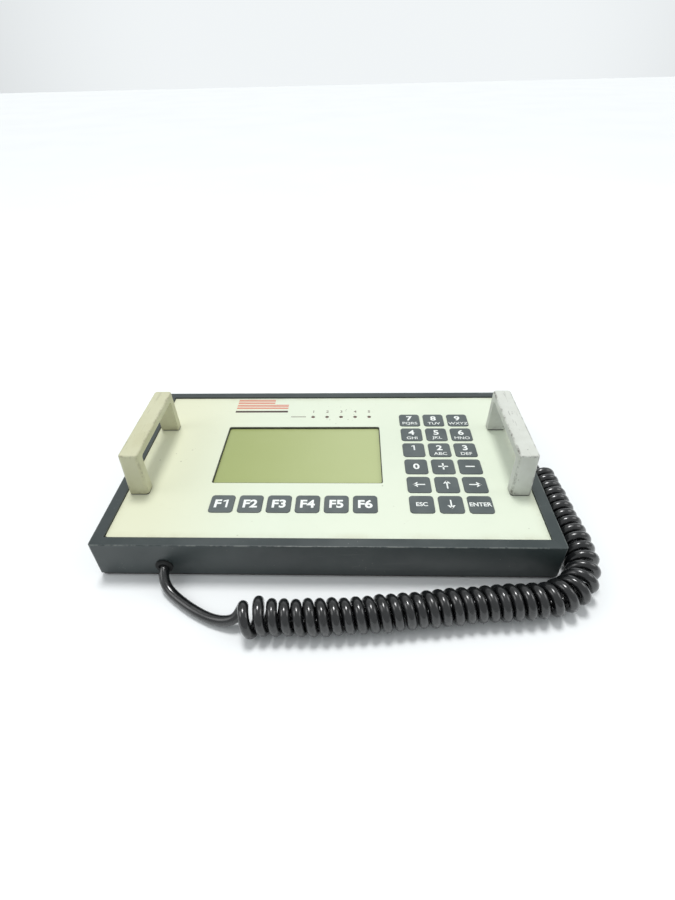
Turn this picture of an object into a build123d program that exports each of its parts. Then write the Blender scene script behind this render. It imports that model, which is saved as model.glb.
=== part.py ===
from build123d import *
import os
from math import pi, radians, tan

os.makedirs("parts", exist_ok=True)

# A desk or hand-held data collector: a shallow case with a recessed front panel, a graphic
# screen, 24 keys, two bow handles and a curly cord that ends in a round connector.
# Millimetres. X runs left to right, Y from the user's side to the back, Z up. The origin is
# on the surface that the feet stand on, below the middle of the case.

# ---------------------------------------------------------------- driving dimensions
# case
overall_width = 276.0
overall_depth = 165.0
wall_height = 25.5
foot_height = 0.8       # the feet stand this far below the bottom cover
plate_height = 1.7      # the cover's outer plate, below the walls
plate_inset = 1.0
wall = 3.2
corner_radius = 1.6
edge_radius = 0.5
rim_side = 7.2          # rim width at the left and right
rim_end = 6.4           # rim width at the front and back
ledge = 3.5             # how far the ledge under the panel stands inside the rim
ledge_thickness = 2.6
panel_recess = 1.2
panel_thickness = 1.6
panel_gap = 0.25        # gap round the panel's edge
gasket = 0.6
cover_thickness = 2.5
cover_gap = 0.25
seat = 4.8              # how far the bottom cover's seat stands inside the wall
seat_thickness = 2.0
fit = 0.05              # radial clearance of pins, screws and the cord in their holes

# screen
screen_x, screen_y = -20.8, 4.4
screen_width, screen_height = 113.8, 63.4
screen_corner = 1.5
window_margin = 5.2     # how far the window reaches past the opening
window_thickness = 1.5
bezel_sheet = 0.8
glass_thickness = 2.4
backlight_thickness = 2.3
display_margin = 3.2    # how far the glass reaches past the opening
lcd_board_margin_x = 7.1
lcd_board_margin_y = 10.3
board_thickness = 1.6

# keys
key_size = 15.2
key_corner = 2.2
key_proud = 0.5
key_travel = 0.5
key_gap = 0.15          # gap round a key in its opening
key_flange = 0.7        # how far the retaining flange stands out
key_flange_thickness = 0.8
key_edge = 0.25
column_space = 2.95     # between two keys of the number block
row_space = 3.0
function_space = 2.9    # between two function keys
block_x, block_y = 59.4, -47.0      # the ESC key, bottom left of the number block
function_x = -66.4                  # the F1 key
mat_thickness = 1.0
mat_clearance = 0.1     # left between a pressed key and the mat

# status lights
light_x, light_y = -14.9, 49.3
light_pitch = 10.9
light_count = 5
light_radius = 1.45

# handles
handle_inset = 2.1      # between a handle's foot and the rim
handle_length = 77.6    # over both feet
handle_height = 30.4    # from the foot's seal to the top
handle_base = 12.9
handle_top = 12.2
handle_rake = 1.2       # how far each end leans in towards the top
handle_bar = 4.8
handle_edge = 1.2
handle_corner = 2.4     # inside, where the bar meets a leg
leg_corner = 2.2        # the legs' upright corners
leg_base = 7.4
leg_top = 6.2
seal_thickness = 0.8
handle_screw_radius = 1.45
handle_thread_depth = 12.0

# fasteners and posts
pillar_inset_x, pillar_inset_y = 17.0, 15.5     # from the case's outside
pillar_radius = 4.0
stud_radius = 2.0
stud_length = 0.9
cover_screw_radius = 1.45
cover_screw_length = 9.0
cover_head_radius = 2.9
head_sink = 0.1         # how far a countersunk head lies below the cover's face
foot_inset_x, foot_inset_y = 26.0, 24.5         # from the case's outside
foot_radius = 7.0
foot_neck = 2.5
foot_barb = 3.4
post_radius = 2.3
post_screw_radius = 1.2
post_screw_length = 3.8
post_head_radius = 2.3
post_head_height = 1.6
post_gap = 1.45         # between a post and a key's flange
board_margin = 4.6      # the keypad board reaches this far past a key's flange

# main board
main_width, main_depth = 190.0, 108.0
main_x = -13.0
main_setback = 25.0     # from the case's front to the board's front edge
main_spacer = 5.6
main_post_inset_x, main_post_inset_y = 5.0, 12.0
battery_radius = 10.0
battery_height = 3.2
battery_x, battery_y = 64.0, 22.0
ribbon_thickness = 0.5

# cord
cord_radius = 3.0
coil_radius = 10.2
exit_x, exit_z = -96.5, 10.0
grommet_neck = 4.25
grommet_flange = 5.2
grommet_lip = 1.6
clamp_width, clamp_depth, clamp_height = 14.0, 6.0, 9.5
header_width, header_depth, header_height = 16.0, 10.0, 8.1
plug_z = 8.05           # the connector's largest radius, and a hair
plug_socket = 5.0       # how far the cord goes into the boot

# ---------------------------------------------------------------- the cord's route
# The points are chosen by hand. Each is measured from the wall that it runs beside, and a
# cord that lies on the surface is a hair above it.
front_y = -overall_depth / 2
back_y = overall_depth / 2
right_x = overall_width / 2
lie = cord_radius + 0.1
coil_lie = coil_radius + 0.05
plug_y = back_y + 10.9

# header, clamp and grommet, down to the surface, then up into the coil
lead_route = [
    (exit_x, front_y + 18.5, exit_z),
    (exit_x, front_y + 8.0, exit_z),
    (exit_x, front_y - 1.0, exit_z - 0.2),
    (exit_x + 0.8, front_y - 6.8, lie + 4.5),
    (exit_x + 3.6, front_y - 11.7, lie + 1.5),
    (exit_x + 9.0, front_y - 16.3, lie + 0.1),
    (exit_x + 17.0, front_y - 22.1, lie),
    (exit_x + 25.5, front_y - 27.3, lie),
    (exit_x + 34.5, front_y - 31.5, lie + 0.02),
    (exit_x + 43.0, front_y - 33.8, lie + 1.7),
    (exit_x + 49.7, front_y - 33.8, lie + 5.1),
    (exit_x + 56.5, front_y - 33.8, coil_lie),
]
# the coil's centre line: along the front, round the right corner and back along the side
coil_route = [
    (exit_x + 56.5, front_y - 33.8, coil_lie),
    (exit_x + 84.5, front_y - 34.5, coil_lie),
    (exit_x + 120.5, front_y - 32.3, coil_lie),
    (right_x - 77.0, front_y - 27.7, coil_lie),
    (right_x - 46.0, front_y - 24.1, coil_lie),
    (right_x - 25.0, front_y - 22.8, coil_lie),
    (right_x - 8.8, front_y - 20.8, coil_lie),
    (right_x + 5.3, front_y - 12.8, coil_lie),
    (right_x + 13.5, front_y + 1.3, coil_lie),
    (right_x + 13.9, front_y + 20.5, coil_lie),
    (right_x + 12.6, front_y + 40.5, coil_lie),
    (right_x + 11.4, front_y + 60.5, coil_lie),
    (right_x + 10.9, front_y + 79.5, coil_lie),
]
# the tail: down to the surface beside the case, round the back corner, into the connector
tail_route = [
    (right_x + 10.9, front_y + 79.5, coil_lie),
    (right_x + 10.7, back_y - 73.5, coil_lie - 0.85),
    (right_x + 9.6, back_y - 57.5, lie + 2.7),
    (right_x + 8.6, back_y - 40.5, lie),
    (right_x + 8.9, back_y - 24.5, lie + 0.05),
    (right_x + 10.2, back_y - 9.5, lie),
    (right_x + 9.6, back_y + 3.5, lie),
    (right_x + 4.3, back_y + 13.7, lie),
    (right_x - 5.0, back_y + 18.8, lie),
    (right_x - 16.5, back_y + 18.1, lie + 0.3),
    (right_x - 26.5, back_y + 13.9, lie + 2.8),
    (right_x - 36.2, plug_y, plug_z),
    (right_x - 46.0, plug_y, plug_z),
]

# ---------------------------------------------------------------- levels and shared sizes
z_plate = foot_height
z_base = z_plate + plate_height
z_rim = z_base + wall_height
z_panel = z_rim - panel_recess
z_under = z_panel - panel_thickness
z_ledge = z_under - gasket
z_head = z_ledge - ledge_thickness
z_cover = z_base + cover_thickness
z_seat = z_cover
z_seat_top = z_seat + seat_thickness
wall_inner_y = front_y + wall
plug_back = tail_route[-1][0] + plug_socket     # the boot's rear face
panel_width = overall_width - 2 * (rim_side + panel_gap)
panel_depth = overall_depth - 2 * (rim_end + panel_gap)
cover_width = overall_width - 2 * (wall + cover_gap)
cover_depth = overall_depth - 2 * (wall + cover_gap)

z_window = z_under - window_thickness
z_glass = z_window - bezel_sheet
z_backlight = z_glass - glass_thickness
z_lcd_board = z_backlight - backlight_thickness
display_width = screen_width + 2 * display_margin
display_height = screen_height + 2 * display_margin
lcd_board_width = screen_width + 2 * lcd_board_margin_x
lcd_board_height = screen_height + 2 * lcd_board_margin_y
lcd_post_x = screen_width / 2 + 1.1
lcd_post_y = screen_height / 2 + 8.0

z_flange = z_under - key_flange_thickness
z_mat = z_flange - key_travel - mat_clearance
z_keypad = z_mat - mat_thickness
flange_size = key_size + 2 * (key_gap + key_flange)
key_opening = key_size + 2 * key_gap
column_pitch = key_size + column_space
row_pitch = key_size + row_space
function_pitch = key_size + function_space

z_main = z_cover + main_spacer
z_main_top = z_main + board_thickness

key_grid = [
    ("key_esc", 0, 0), ("key_down", 1, 0), ("key_enter", 2, 0),
    ("key_left", 0, 1), ("key_up", 1, 1), ("key_right", 2, 1),
    ("key_0", 0, 2), ("key_plus", 1, 2), ("key_minus", 2, 2),
    ("key_1", 0, 3), ("key_2", 1, 3), ("key_3", 2, 3),
    ("key_4", 0, 4), ("key_5", 1, 4), ("key_6", 2, 4),
    ("key_7", 0, 5), ("key_8", 1, 5), ("key_9", 2, 5),
]
keys = [(name, block_x + column * column_pitch, block_y + row * row_pitch)
        for name, column, row in key_grid]
keys += [("key_f%d" % (i + 1), function_x + i * function_pitch, block_y) for i in range(6)]
key_places = [(x, y) for name, x, y in keys]
block_right = block_x + 2 * column_pitch
block_top = block_y + 5 * row_pitch

light_places = [(light_x + i * light_pitch, light_y) for i in range(light_count)]
handle_x = right_x - rim_side - handle_inset - handle_base / 2
pillar_x, pillar_y = right_x - pillar_inset_x, back_y - pillar_inset_y
foot_x, foot_y = right_x - foot_inset_x, back_y - foot_inset_y
pillar_places = [(sx * pillar_x, sy * pillar_y) for sx in (-1, 1) for sy in (-1, 1)]
foot_places = [(sx * foot_x, sy * foot_y) for sx in (-1, 1) for sy in (-1, 1)]
leg_y = handle_length / 2 - leg_base / 2
leg_places = [(sx * handle_x, sy * leg_y) for sx in (-1, 1) for sy in (-1, 1)]
main_y = front_y + main_setback + main_depth / 2
main_post_x = main_width / 2 - main_post_inset_x
main_post_y = main_depth / 2 - main_post_inset_y
main_posts = [(main_x + sx * main_post_x, main_y + sy * main_post_y)
              for sx in (-1, 1) for sy in (-1, 1)]
lcd_posts = [(screen_x + sx * lcd_post_x, screen_y + sy * lcd_post_y)
             for sx in (-1, 1) for sy in (-1, 1)]

# keypad board: a strip under the function keys, a block under the number keys and an arm
# that carries the status lights
reach = flange_size / 2 + post_gap + post_radius       # from a key's middle to a post's
edge = reach + board_margin - post_gap - 0.15          # and to the board's edge
strip_left = function_x - edge
block_left = block_x - edge
board_right = block_right + edge
board_front = block_y - flange_size / 2 - 1.35
board_back = max(light_y, block_top + 5.3) + 6.7
arm_left = light_x - 9.1
arm_front = light_y - 2.4
strip_back = block_y + flange_size / 2 + 0.35
keypad_posts = [
    (function_x - reach, block_y),
    (block_x - reach, block_y),
    (block_right + reach, block_y),
    (block_right + reach, 4.0),
    (block_right + reach, board_back - 4.0),
    (block_x - reach, 20.0),
    (light_x - 5.1, light_y + 2.1),
    (light_x + 51.4, light_y + 2.1),
]


# ---------------------------------------------------------------- helpers
def corner_radii(route):
    """The arc at each corner of a cord's route: as large as its two runs allow."""
    runs = [Vector(*b) - Vector(*a) for a, b in zip(route, route[1:])]
    return [0.45 * min(a.length, b.length) / tan(radians(a.get_angle(b)) / 2)
            for a, b in zip(runs, runs[1:])]


def route_plane(route):
    """A plane across the cord at the route's first point."""
    return Plane(origin=route[0], z_dir=Vector(*route[1]) - Vector(*route[0]))


def save(part, name):
    """Label a finished piece and write it as its own STEP file."""
    part.part.label = name
    export_step(part.part, "parts/%s.step" % name)


def report_tube(name, part, route, radius):
    """Print a tube's radii and compare its volume with section times length."""
    print(name, "radii", [round(r, 1) for r in corner_radii(route)])
    with BuildLine() as line:
        FilletPolyline(*route, radius=corner_radii(route))
    length = sum(edge.length for edge in line.line.edges())
    print(name, "length %.1f volume ratio %.4f"
          % (length, part.part.volume / (pi * radius ** 2 * length)))


# ---------------------------------------------------------------- case
with BuildPart() as case_frame:
    with BuildSketch(Plane.XY.offset(z_base)):
        RectangleRounded(overall_width, overall_depth, corner_radius)
    extrude(amount=wall_height)
    fillet(case_frame.faces().sort_by(Axis.Z)[-1].edges(), radius=edge_radius)
    fillet(case_frame.faces().sort_by(Axis.Z)[0].edges(), radius=edge_radius)
    # from the bottom: cover pocket, seat opening, inside, ledge opening, panel pocket
    for low, high, inset_x, inset_y in (
        (z_base, z_seat, wall, wall),
        (z_seat, z_seat_top, wall + seat, wall + seat),
        (z_seat_top, z_head, wall, wall),
        (z_head, z_ledge, rim_side + ledge, rim_end + ledge),
        (z_ledge, z_rim, rim_side, rim_end),
    ):
        with BuildSketch(Plane.XY.offset(low)):
            Rectangle(overall_width - 2 * inset_x, overall_depth - 2 * inset_y)
        extrude(amount=high - low, mode=Mode.SUBTRACT)
    # cord hole through the front wall, and room for the grommet's inner lip in the seat
    with BuildSketch(Plane(origin=(exit_x, front_y, exit_z), z_dir=(0, 1, 0))):
        Circle(grommet_neck + fit)
    extrude(amount=wall, mode=Mode.SUBTRACT)
    with BuildSketch(Plane(origin=(exit_x, wall_inner_y, exit_z), z_dir=(0, 1, 0))):
        Circle(grommet_flange + 0.2)
    extrude(amount=seat + 1, mode=Mode.SUBTRACT)
save(case_frame, "case_frame")

with BuildPart() as front_panel:
    with BuildSketch(Plane.XY.offset(z_under)):
        Rectangle(panel_width, panel_depth)
        with Locations((screen_x, screen_y)):
            RectangleRounded(screen_width, screen_height, screen_corner, mode=Mode.SUBTRACT)
        with Locations(*key_places):
            RectangleRounded(key_opening, key_opening, key_corner + key_gap,
                             mode=Mode.SUBTRACT)
        with Locations(*light_places):
            Circle(light_radius + fit, mode=Mode.SUBTRACT)
        with Locations(*leg_places):
            Circle(handle_screw_radius + 0.25, mode=Mode.SUBTRACT)
    extrude(amount=panel_thickness)
    # blind holes for the pillars' studs
    with BuildSketch(Plane.XY.offset(z_under)):
        with Locations(*pillar_places):
            Circle(stud_radius)
    extrude(amount=stud_length, mode=Mode.SUBTRACT)
save(front_panel, "front_panel")

with BuildPart() as panel_gasket:
    with BuildSketch(Plane.XY.offset(z_ledge)):
        Rectangle(panel_width - 0.6, panel_depth - 0.6)
        Rectangle(overall_width - 2 * (rim_side + ledge) + 0.8,
                  overall_depth - 2 * (rim_end + ledge) + 0.8, mode=Mode.SUBTRACT)
    extrude(amount=gasket)
save(panel_gasket, "panel_gasket")

with BuildPart() as bottom_cover:
    with BuildSketch(Plane.XY.offset(z_plate)):
        RectangleRounded(overall_width - 2 * plate_inset, overall_depth - 2 * plate_inset, 1.2)
        with Locations(*foot_places):
            Circle(foot_neck + fit, mode=Mode.SUBTRACT)
    extrude(amount=plate_height)
    with BuildSketch(Plane.XY.offset(z_base)):
        RectangleRounded(cover_width, cover_depth, 0.8)
        with Locations(*foot_places):
            Circle(foot_neck + fit, mode=Mode.SUBTRACT)
    extrude(amount=cover_thickness)
    with Locations(*[Location((x, y, z_plate), (180, 0, 0)) for x, y in pillar_places]):
        CounterSinkHole(cover_screw_radius + 0.15, cover_head_radius + head_sink,
                        depth=plate_height + cover_thickness, counter_sink_angle=90)
    # room for the grommet's inner lip
    with BuildSketch(Plane(origin=(exit_x, wall_inner_y, exit_z), z_dir=(0, 1, 0))):
        Circle(grommet_flange + 0.2)
    extrude(amount=grommet_lip + 0.4, mode=Mode.SUBTRACT)
save(bottom_cover, "bottom_cover")

with BuildPart() as corner_pillars:
    with BuildSketch(Plane.XY.offset(z_cover)):
        with Locations(*pillar_places):
            RegularPolygon(pillar_radius, 6)
    extrude(amount=z_under - z_cover)
    with BuildSketch(Plane.XY.offset(z_under)):
        with Locations(*pillar_places):
            Circle(stud_radius)
    extrude(amount=stud_length - 0.05)
    with BuildSketch(Plane.XY.offset(z_cover)):
        with Locations(*pillar_places):
            Circle(cover_screw_radius + fit)
    extrude(amount=cover_screw_length, mode=Mode.SUBTRACT)
save(corner_pillars, "corner_pillars")

with BuildPart() as cover_screws:
    for x, y in pillar_places:
        with BuildSketch(Plane(origin=(x, y, z_plate + head_sink), x_dir=(1, 0, 0), z_dir=(0, -1, 0))):
            with BuildLine():
                Polyline((0, 0), (cover_head_radius, 0),
                         (cover_screw_radius, cover_head_radius - cover_screw_radius),
                         (cover_screw_radius, cover_screw_length), (0, cover_screw_length),
                         close=True)
            make_face()
        revolve(axis=Axis((x, y, 0), (0, 0, 1)))
    # hexagon sockets
    with BuildSketch(Plane.XY.offset(z_plate + head_sink)):
        with Locations(*pillar_places):
            RegularPolygon(1.2, 6)
    extrude(amount=1.2, mode=Mode.SUBTRACT)
save(cover_screws, "cover_screws")

with BuildPart() as rubber_feet:
    with BuildSketch():
        with Locations(*foot_places):
            Circle(foot_radius)
    extrude(amount=foot_height)
    chamfer(rubber_feet.faces().group_by(Axis.Z)[0].edges(), length=foot_height / 3)
    with BuildSketch(Plane.XY.offset(foot_height)):
        with Locations(*foot_places):
            Circle(foot_neck)
    extrude(amount=plate_height + cover_thickness)
    with BuildSketch(Plane.XY.offset(z_cover)):
        with Locations(*foot_places):
            Circle(foot_barb)
    extrude(amount=1.2, taper=25)
save(rubber_feet, "rubber_feet")

# ---------------------------------------------------------------- handles
z_seal = z_panel + seal_thickness
bar_z = handle_height - handle_bar
half = handle_length / 2

for side, name in ((-1, "handle_left"), (1, "handle_right")):
    with BuildPart() as handle:
        # the bow's outline from the side, made across the whole width of the foot
        with BuildSketch(Plane(origin=(side * handle_x, 0, z_seal), x_dir=(0, 1, 0),
                               z_dir=(1, 0, 0))):
            with BuildLine():
                Polyline((-half, 0), (-half + leg_base, 0),
                         (-half + handle_rake + leg_top, bar_z),
                         (half - handle_rake - leg_top, bar_z),
                         (half - leg_base, 0), (half, 0),
                         (half - handle_rake, handle_height),
                         (-half + handle_rake, handle_height), close=True)
            make_face()
        extrude(amount=handle_base / 2, both=True)
        # both flanks lean in towards the top
        with BuildSketch(Plane(origin=(side * handle_x, 0, z_seal), x_dir=(1, 0, 0),
                               z_dir=(0, -1, 0))):
            with BuildLine():
                Polyline((-handle_base / 2, 0), (handle_base / 2, 0),
                         (handle_top / 2, handle_height), (-handle_top / 2, handle_height),
                         close=True)
            make_face()
        extrude(amount=half + 1, both=True, mode=Mode.INTERSECT)
        inside = handle.edges().filter_by(Axis.X).filter_by(
            lambda e: abs(e.center().Z - z_seal - bar_z) < 0.01)
        fillet(inside, radius=handle_corner)
        outer = handle.edges().filter_by(lambda e: abs((e % 0.5).Z) > 0.9 and
                                         abs(e.center().Y) > half - leg_base + 3)
        fillet(outer, radius=leg_corner)
        fillet(handle.faces().sort_by(Axis.Z)[-1].edges(), radius=handle_edge)
        with BuildSketch(Plane.XY.offset(z_seal)):
            with Locations((side * handle_x, -leg_y), (side * handle_x, leg_y)):
                Circle(handle_screw_radius + fit)
        extrude(amount=handle_thread_depth, mode=Mode.SUBTRACT)
    save(handle, name)

with BuildPart() as handle_seals:
    with BuildSketch(Plane.XY.offset(z_panel)):
        with Locations(*leg_places):
            RectangleRounded(handle_base - 0.5, leg_base - 0.4, 1.8)
            Circle(handle_screw_radius + 0.25, mode=Mode.SUBTRACT)
    extrude(amount=seal_thickness)
save(handle_seals, "handle_seals")

with BuildPart() as handle_screws:
    with BuildSketch(Plane.XY.offset(z_under)):
        with Locations(*leg_places):
            Circle(handle_screw_radius)
    extrude(amount=z_seal - z_under + handle_thread_depth - 2)
    with BuildSketch(Plane.XY.offset(z_under)):
        with Locations(*leg_places):
            Circle(3.7)
            RegularPolygon(1.5, 6, mode=Mode.SUBTRACT)
    extrude(amount=-2.6)
save(handle_screws, "handle_screws")

# ---------------------------------------------------------------- display
with BuildPart() as lcd_window:
    with BuildSketch(Plane(origin=(screen_x, screen_y, z_window))):
        RectangleRounded(screen_width + 2 * window_margin, screen_height + 2 * window_margin, 1)
    extrude(amount=window_thickness)
save(lcd_window, "lcd_window")

with BuildPart() as lcd_bezel:
    with BuildSketch(Plane(origin=(screen_x, screen_y, z_lcd_board))):
        Rectangle(display_width + 2 * bezel_sheet + 0.4, display_height + 2 * bezel_sheet + 0.4)
        Rectangle(display_width + 0.4, display_height + 0.4, mode=Mode.SUBTRACT)
    extrude(amount=z_glass - z_lcd_board)
    with BuildSketch(Plane(origin=(screen_x, screen_y, z_glass))):
        Rectangle(display_width + 2 * bezel_sheet + 0.4, display_height + 2 * bezel_sheet + 0.4)
        Rectangle(screen_width + 1.2, screen_height + 1.2, mode=Mode.SUBTRACT)
    extrude(amount=bezel_sheet)
save(lcd_bezel, "lcd_bezel")

with BuildPart() as lcd_glass:
    with BuildSketch(Plane(origin=(screen_x, screen_y, z_backlight))):
        Rectangle(display_width, display_height)
    extrude(amount=glass_thickness)
save(lcd_glass, "lcd_glass")

with BuildPart() as lcd_backlight:
    with BuildSketch(Plane(origin=(screen_x, screen_y, z_lcd_board))):
        Rectangle(display_width, display_height)
    extrude(amount=backlight_thickness)
save(lcd_backlight, "lcd_backlight")

with BuildPart() as lcd_board:
    with BuildSketch(Plane.XY.offset(z_lcd_board)):
        with Locations((screen_x, screen_y)):
            Rectangle(lcd_board_width, lcd_board_height)
        with Locations(*lcd_posts):
            Circle(post_screw_radius + 0.15, mode=Mode.SUBTRACT)
    extrude(amount=-board_thickness)
save(lcd_board, "lcd_board")

# ---------------------------------------------------------------- keypad
for name, x, y in keys:
    with BuildPart() as key:
        with BuildSketch(Plane(origin=(x, y, z_flange))):
            RectangleRounded(flange_size, flange_size, key_corner + key_flange)
        extrude(amount=key_flange_thickness)
        with BuildSketch(Plane(origin=(x, y, z_under))):
            RectangleRounded(key_size, key_size, key_corner)
        extrude(amount=panel_thickness + key_proud)
        fillet(key.faces().sort_by(Axis.Z)[-1].edges(), radius=key_edge)
    save(key, name)

with BuildPart() as keypad_mat:
    with BuildSketch(Plane.XY.offset(z_keypad)):
        with Locations(((function_x + block_right) / 2, block_y)):
            Rectangle(block_right - function_x + flange_size + 1, flange_size)
        with Locations(((block_x + block_right) / 2, (block_y + block_top) / 2)):
            Rectangle(2 * column_pitch + flange_size + 1, 5 * row_pitch + flange_size)
        with Locations(keypad_posts[1]):
            Circle(post_radius + 0.3, mode=Mode.SUBTRACT)
    extrude(amount=mat_thickness)
save(keypad_mat, "keypad_mat")

with BuildPart() as keypad_board:
    with BuildSketch(Plane.XY.offset(z_keypad)):
        for left, right, front, back in (
            (strip_left, board_right, board_front, strip_back),
            (block_left, board_right, board_front, board_back),
            (arm_left, board_right, arm_front, board_back),
        ):
            with Locations(((left + right) / 2, (front + back) / 2)):
                Rectangle(right - left, back - front)
        with Locations(*keypad_posts):
            Circle(post_screw_radius + 0.15, mode=Mode.SUBTRACT)
    extrude(amount=-board_thickness)
save(keypad_board, "keypad_board")

with BuildPart() as status_lights:
    with BuildSketch(Plane.XY.offset(z_keypad)):
        with Locations(*light_places):
            Circle(light_radius + 0.4)
    extrude(amount=1.0)
    with BuildSketch(Plane.XY.offset(z_keypad + 1.0)):
        with Locations(*light_places):
            Circle(light_radius)
    extrude(amount=z_panel - 0.05 - z_keypad - 1.0)
    fillet(status_lights.faces().group_by(Axis.Z)[-1].edges(), radius=0.9)
save(status_lights, "status_lights")

# ---------------------------------------------------------------- boards, posts and screws
# every post: x, y, low end, high end
posts = [(x, y, z_cover, z_main) for x, y in main_posts]
posts += [(x, y, z_lcd_board, z_under) for x, y in lcd_posts]
posts += [(x, y, z_keypad, z_under) for x, y in keypad_posts]

with BuildPart() as board_posts:
    for x, y, low, high in posts:
        with BuildSketch(Plane(origin=(x, y, low))):
            Circle(post_radius)
            Circle(post_screw_radius + fit, mode=Mode.SUBTRACT)
        extrude(amount=high - low)
save(board_posts, "board_posts")

# every screw: x, y, the board's outer face, and the way the screw goes in
screws = [(x, y, z_main_top, -1) for x, y in main_posts]
screws += [(x, y, z_lcd_board - board_thickness, 1) for x, y in lcd_posts]
screws += [(x, y, z_keypad - board_thickness, 1) for x, y in keypad_posts]

with BuildPart() as board_screws:
    for x, y, face, way in screws:
        with BuildSketch(Plane(origin=(x, y, face))):
            Circle(post_screw_radius)
        extrude(amount=way * post_screw_length)
        with BuildSketch(Plane(origin=(x, y, face))):
            Circle(post_head_radius)
            RegularPolygon(0.9, 6, mode=Mode.SUBTRACT)
        extrude(amount=-way * post_head_height)
save(board_screws, "board_screws")

with BuildPart() as main_board:
    with BuildSketch(Plane.XY.offset(z_main)):
        with Locations((main_x, main_y)):
            Rectangle(main_width, main_depth)
        with Locations(*main_posts):
            Circle(post_screw_radius + 0.15, mode=Mode.SUBTRACT)
    extrude(amount=board_thickness)
save(main_board, "main_board")

# processor, memory and interface chips: x, y, width, depth
chips = [(-50.0, 12.0, 28.0, 28.0), (-8.0, 16.0, 20.0, 12.0), (-8.0, -6.0, 20.0, 12.0),
         (22.0, 5.0, 12.0, 24.0), (-50.0, -38.0, 18.0, 8.0), (58.0, -20.0, 16.0, 16.0)]
with BuildPart() as board_chips:
    for x, y, width, depth in chips:
        with BuildSketch(Plane(origin=(x, y, z_main_top))):
            Rectangle(width, depth)
        extrude(amount=2.2)
save(board_chips, "board_chips")

with BuildPart() as backup_battery:
    with BuildSketch(Plane(origin=(battery_x, battery_y, z_main_top))):
        Circle(battery_radius)
    extrude(amount=battery_height)
    fillet(backup_battery.faces().sort_by(Axis.Z)[-1].edges(), radius=0.6)
save(backup_battery, "backup_battery")

# flat cables, folded once: fold centre x, middle y, width, low face, high face, leg, side
ribbons = [
    (screen_x - lcd_board_width / 2 - 1.2, 6.0, 20.0, z_main_top,
     z_lcd_board - board_thickness, 7.0, -1),
    (block_x + 24.6, main_y - 24.5, 22.0, z_main_top, z_keypad - board_thickness, 10.0, 1),
]
with BuildPart() as ribbon_cables:
    for x, y, width, low, high, leg, way in ribbons:
        bend = (high - low) / 2
        middle = Plane(origin=(x, y, (low + high) / 2), x_dir=(way, 0, 0), z_dir=(0, -way, 0))
        with BuildSketch(middle):
            Circle(bend)
            Circle(bend - ribbon_thickness, mode=Mode.SUBTRACT)
            with Locations((-bend / 2, 0)):
                Rectangle(bend, 2 * bend, mode=Mode.SUBTRACT)
            for up in (-1, 1):
                with Locations((-leg / 2, up * (bend - ribbon_thickness / 2))):
                    Rectangle(leg, ribbon_thickness)
        extrude(amount=width / 2, both=True)
save(ribbon_cables, "ribbon_cables")

# ---------------------------------------------------------------- cord and what holds it
with BuildPart() as cord_grommet:
    with BuildSketch(Plane(origin=(exit_x, front_y, exit_z), x_dir=(0, -1, 0),
                           z_dir=(1, 0, 0))):
        with BuildLine():
            Polyline((grommet_lip, cord_radius + fit), (grommet_lip, grommet_flange - 0.7),
                     (grommet_lip - 0.7, grommet_flange), (0, grommet_flange),
                     (0, grommet_neck), (-wall, grommet_neck),
                     (-wall, grommet_flange - 0.2), (-wall - 1.5, grommet_neck),
                     (-wall - 1.5, cord_radius + fit), close=True)
        make_face()
    revolve(axis=Axis((exit_x, 0, exit_z), (0, 1, 0)))
save(cord_grommet, "cord_grommet")

clamp_y = front_y + 12.0
with BuildPart() as cord_clamp:
    with BuildSketch(Plane(origin=(exit_x, clamp_y, z_cover))):
        Rectangle(clamp_width, clamp_depth)
    extrude(amount=clamp_height)
    with BuildSketch(Plane(origin=(exit_x, clamp_y, exit_z), z_dir=(0, 1, 0))):
        Circle(cord_radius + fit)
    extrude(amount=clamp_depth, both=True, mode=Mode.SUBTRACT)
save(cord_clamp, "cord_clamp")

board_edge = main_y - main_depth / 2
with BuildPart() as cord_header:
    with BuildSketch(Plane(origin=(exit_x, lead_route[0][1] + header_depth / 2, z_cover + 0.3))):
        Rectangle(header_width, header_depth)
    extrude(amount=header_height)
    with BuildSketch(Plane(origin=(exit_x, board_edge + header_depth / 2 - fit,
                                   z_main - fit))):
        Rectangle(header_width, header_depth)
    extrude(amount=board_thickness + 2 * fit, mode=Mode.SUBTRACT)
save(cord_header, "cord_header")

with BuildPart() as cord_lead:
    with BuildLine():
        FilletPolyline(*lead_route, radius=corner_radii(lead_route))
    with BuildSketch(route_plane(lead_route)):
        Circle(cord_radius)
    sweep()
save(cord_lead, "cord_lead")

with BuildPart() as cord_coil:
    with BuildLine():
        FilletPolyline(*coil_route, radius=corner_radii(coil_route))
    with BuildSketch(route_plane(coil_route)):
        Circle(coil_radius)
    sweep()
save(cord_coil, "cord_coil")

with BuildPart() as cord_tail:
    with BuildLine():
        FilletPolyline(*tail_route, radius=corner_radii(tail_route))
    with BuildSketch(route_plane(tail_route)):
        Circle(cord_radius)
    sweep()
save(cord_tail, "cord_tail")

# The connector lies on its side behind the case. Its pieces are turned about one line; each
# outline gives the distance along it from the boot's rear face, and the radius there.
plug_plane = Plane(origin=(plug_back, plug_y, plug_z), x_dir=(-1, 0, 0), z_dir=(0, 1, 0))
plug_axis = Axis((plug_back, plug_y, plug_z), (-1, 0, 0))
boot_length = 20.0
grip_end = 31.0
collar_end = 37.5
shell_end = 47.0
ring_end = 49.0
collar_radius = 6.0
grip_radius = 6.7
ring_radius = 8.0
ring_bore = 7.0

with BuildPart() as plug_boot:
    with BuildSketch(plug_plane):
        with BuildLine():
            Polyline((0, cord_radius + fit), (0, cord_radius + 0.9), (boot_length, 5.6),
                     (boot_length, 0), (plug_socket, 0), (plug_socket, cord_radius + fit),
                     close=True)
        make_face()
    revolve(axis=plug_axis)
save(plug_boot, "plug_boot")

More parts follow.
